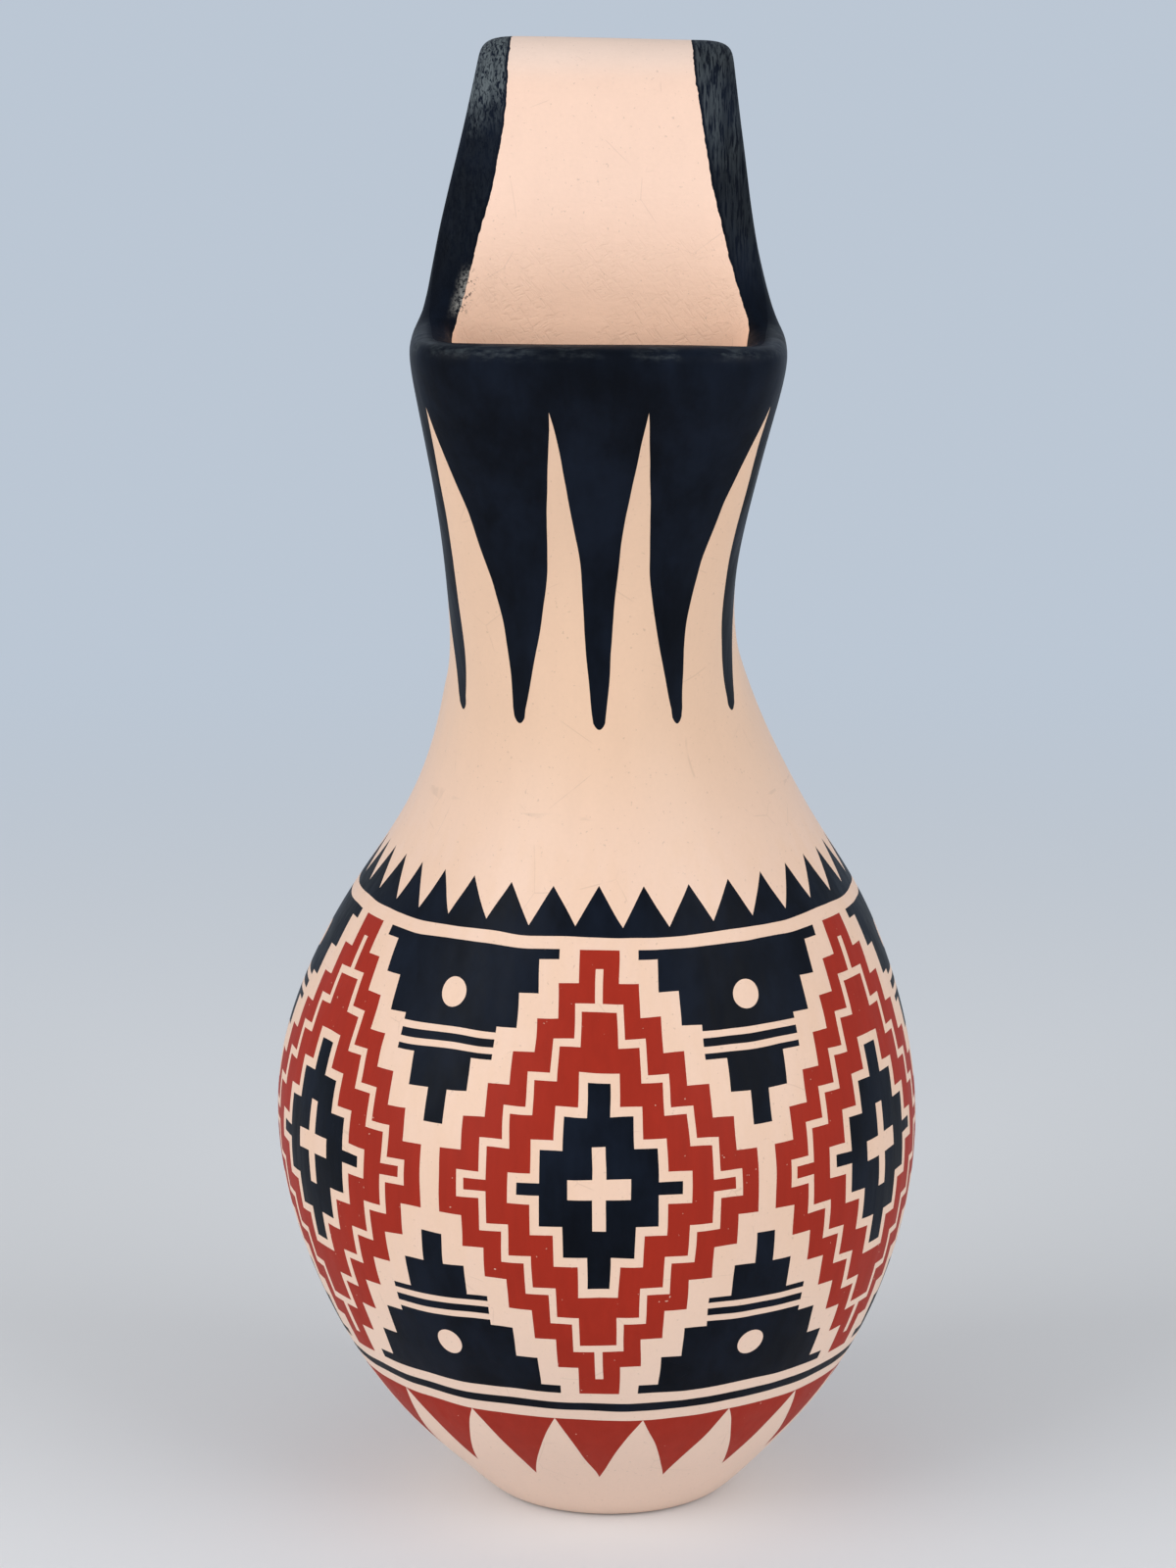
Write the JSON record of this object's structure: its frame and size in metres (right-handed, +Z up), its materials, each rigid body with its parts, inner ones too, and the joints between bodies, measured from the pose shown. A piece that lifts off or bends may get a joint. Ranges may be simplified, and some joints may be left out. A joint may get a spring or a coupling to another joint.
{
  "type": "wedding vase",
  "caption": "Hand-built clay wedding vase with a round belly, flared spouts either side of a saddle and a broad strap handle bridging them, in cream, black and red slip.",
  "frame": {"origin": "centre of the flat foot's underside", "axes": "+Z up through the belly; the spouts stand along Y, with the front spout at -Y; the strap handle's width lies along X"},
  "size_m": [0.1762, 0.1758, 0.4],
  "materials": {
    "cream_slip": "stone-polished satin slip, painted in red and black",
    "black_slip": "brushed satin black slip"
  },
  "bodies": {
    "root": {"base": "cream_slip", "lower_wall": "cream_slip", "belly_wall": "cream_slip", "upper_wall": "cream_slip", "shoulder": "cream_slip", "saddle": "cream_slip", "front_spout": "black_slip", "rear_spout": "black_slip", "handle": "cream_slip"}
  },
  "joints": []
}
